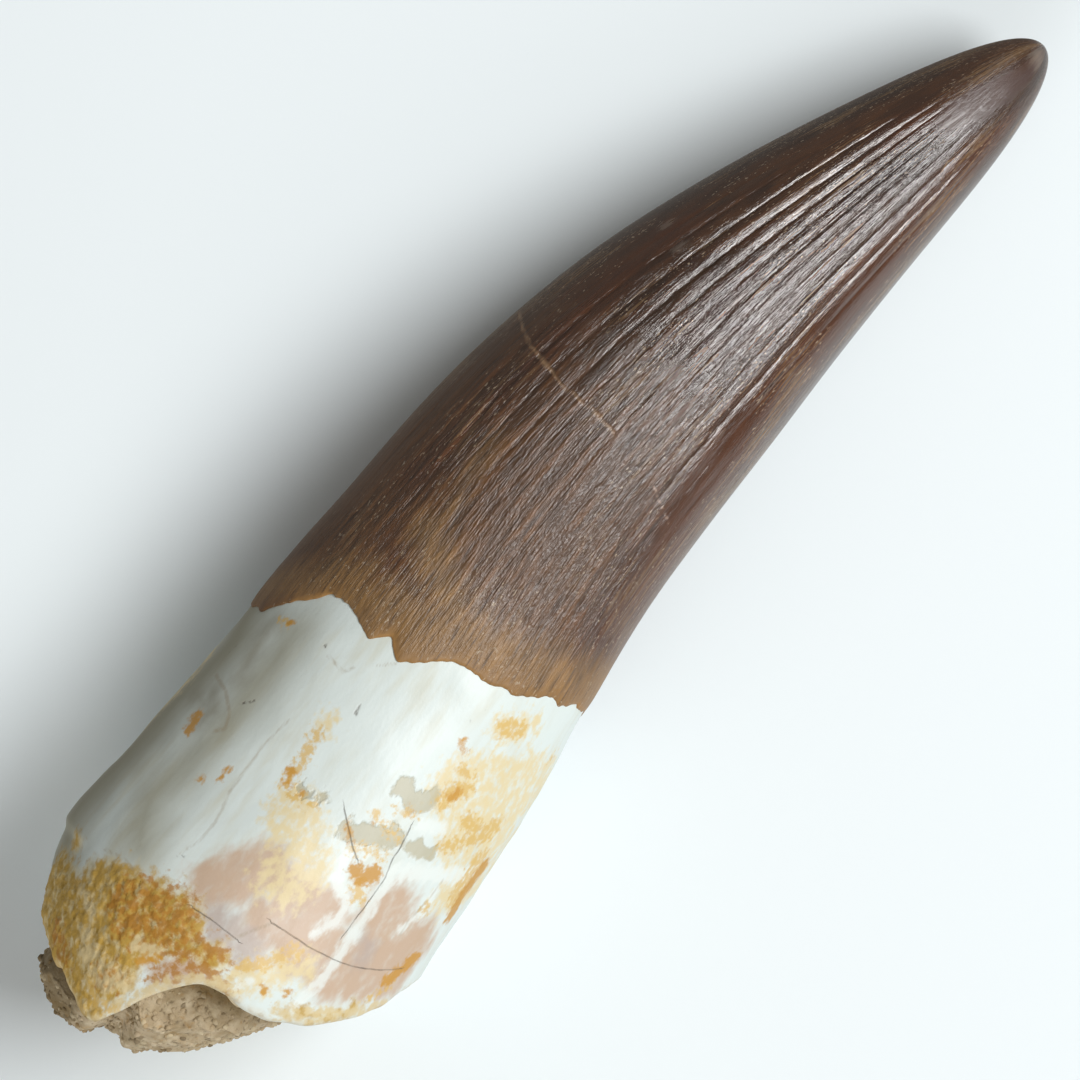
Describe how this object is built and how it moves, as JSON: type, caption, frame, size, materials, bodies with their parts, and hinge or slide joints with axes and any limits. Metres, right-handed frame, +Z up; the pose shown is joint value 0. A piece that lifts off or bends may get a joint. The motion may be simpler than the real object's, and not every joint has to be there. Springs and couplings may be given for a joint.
{
  "type": "fossil tooth",
  "caption": "Curved, pointed fossil tooth of a marine reptile, with a ribbed brown enamel crown, a pale worn root and sandy rock filling its broken end.",
  "frame": {"origin": "middle of the bounding box, on the plane of the worn flats that the tooth rests on", "axes": "+X along the tooth from its broken root to its tip, +Z up, with the crown bending towards -Y"},
  "size_m": [0.0662, 0.0188, 0.0172],
  "materials": {
    "fossil_enamel": "dark brown glossy mineralised enamel with fine lengthwise ridges",
    "fossil_root": "pale satin fossil dentine, stained ochre and pinkish tan",
    "sandy_matrix": "rough, grainy sandstone"
  },
  "bodies": {
    "root": {"tooth": "fossil_enamel", "matrix_plug": "sandy_matrix"}
  },
  "joints": []
}
